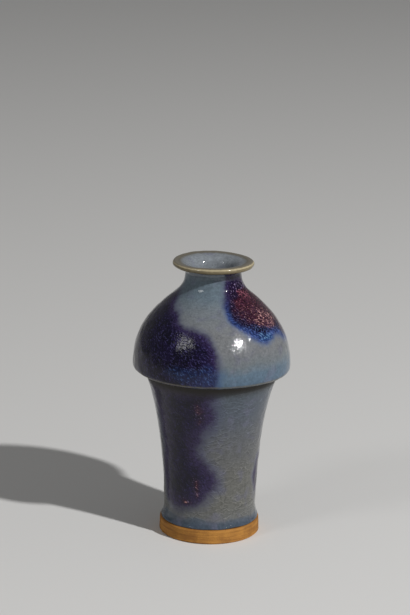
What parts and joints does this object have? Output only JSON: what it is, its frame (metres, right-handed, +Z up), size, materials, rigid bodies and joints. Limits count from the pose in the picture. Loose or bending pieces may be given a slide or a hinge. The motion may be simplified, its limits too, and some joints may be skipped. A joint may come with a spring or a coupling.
{
  "type": "bottle vase",
  "caption": "Glazed stoneware bottle vase with a bare foot ring, a waisted trunk, an overhanging domed shoulder, a short concave neck and a rolled lip.",
  "frame": {"origin": "centre of the face that the foot ring stands on", "axes": "+Z up along the axis of the vase; -Y is the pictured front"},
  "size_m": [0.1122, 0.1122, 0.2],
  "materials": {
    "stoneware": "bare fired clay, matt orange-buff",
    "slip": "fired luting slip, matt",
    "glaze": "thick glossy grey-blue glaze with purple, blue and red splashes",
    "rim": "thin glossy tan glaze",
    "lining": "glossy grey-blue glaze"
  },
  "bodies": {
    "root": {"foot_ring": "stoneware", "floor_disc": "stoneware", "floor_slip": "slip", "foot_slip": "slip", "trunk_wall": "stoneware", "trunk_glaze": "glaze", "trunk_lining": "lining", "cap_slip": "slip", "shoulder_cap": "stoneware", "cap_lining": "lining", "neck_slip": "slip", "neck_and_mouth": "stoneware", "mouth_lining": "lining", "shoulder_glaze": "glaze", "rim_glaze": "rim"}
  },
  "joints": []
}
